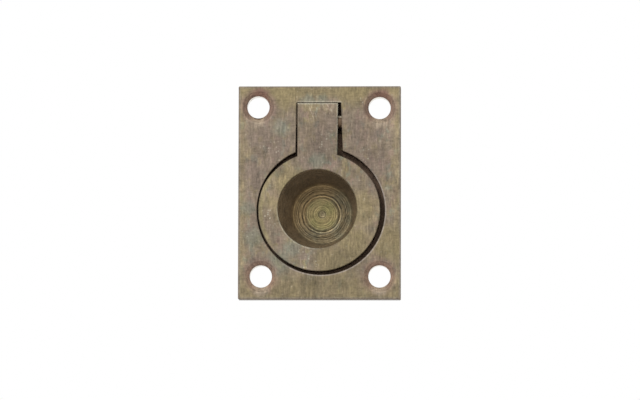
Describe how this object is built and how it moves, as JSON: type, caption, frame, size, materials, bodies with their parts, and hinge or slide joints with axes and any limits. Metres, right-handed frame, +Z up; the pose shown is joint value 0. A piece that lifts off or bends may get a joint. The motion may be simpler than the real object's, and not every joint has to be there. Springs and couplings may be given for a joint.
{
  "type": "flush ring pull",
  "caption": "Flush brass pull: a screwed plate with a round recess, and a flat ring that swings out on a pin so that a finger can pull it from the turned cup behind.",
  "frame": {"origin": "centre of the plate's flat back face", "axes": "+Z up, +X to the right seen from the front, the front faces -Y and the cup reaches back to +Y"},
  "size_m": [0.038, 0.012, 0.05],
  "materials": {
    "body_brass": "aged, linished",
    "ring_brass": "aged, linished",
    "pin_brass": "dull, tarnished"
  },
  "bodies": {
    "plate": {"flush_body": "body_brass", "hinge_pin": "pin_brass"},
    "ring": {"pull_ring": "ring_brass"}
  },
  "joints": [
    {"name": "ring_swing", "type": "hinge", "parent": "plate", "child": "ring", "pos_m": [-0.0004, -0.002, 0.01685], "axis": [-1, 0, 0], "range_deg": [0, 100]}
  ]
}
